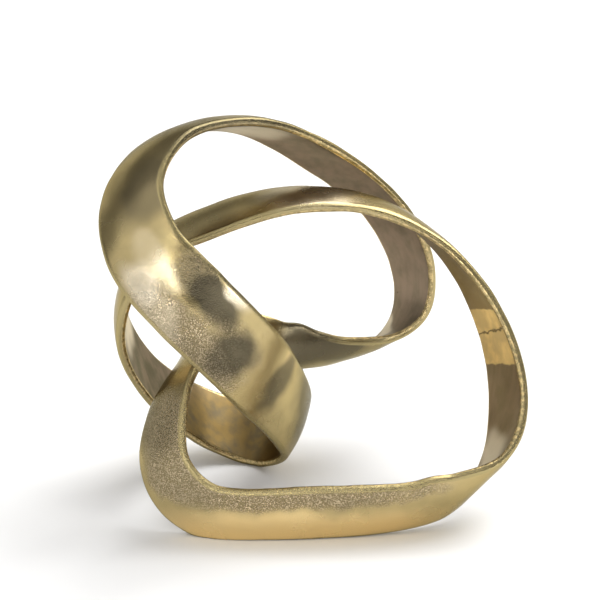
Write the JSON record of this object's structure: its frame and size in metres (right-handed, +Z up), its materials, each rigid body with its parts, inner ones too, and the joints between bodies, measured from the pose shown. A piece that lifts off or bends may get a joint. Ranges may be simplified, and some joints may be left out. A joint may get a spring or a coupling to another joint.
{
  "type": "knotted band table sculpture",
  "caption": "Closed metal band that twists and crosses over itself as an open knot, standing on its own lower edges as a table sculpture.",
  "frame": {"origin": "centre of the bounding box's base, on the table", "axes": "+X to the right seen from the front, +Y away from the viewer, +Z up"},
  "size_m": [0.2232, 0.1576, 0.2117],
  "materials": {
    "satin_gold": "satin gold plated casting, grainy in places",
    "weld_gold": "weld, ground flush and gold plated"
  },
  "bodies": {
    "root": {"shoulder_casting": "satin_gold", "fold_casting": "satin_gold", "sweep_casting": "satin_gold", "arch_casting": "satin_gold", "corner_casting": "satin_gold", "heel_casting": "satin_gold", "link_casting": "satin_gold", "rear_casting": "satin_gold", "crown_casting": "satin_gold", "crown_weld": "weld_gold", "sash_weld": "weld_gold", "sweep_weld": "weld_gold", "arch_weld": "weld_gold", "limb_weld": "weld_gold", "run_weld": "weld_gold", "link_weld": "weld_gold", "bowl_weld": "weld_gold", "rear_weld": "weld_gold"}
  },
  "joints": []
}
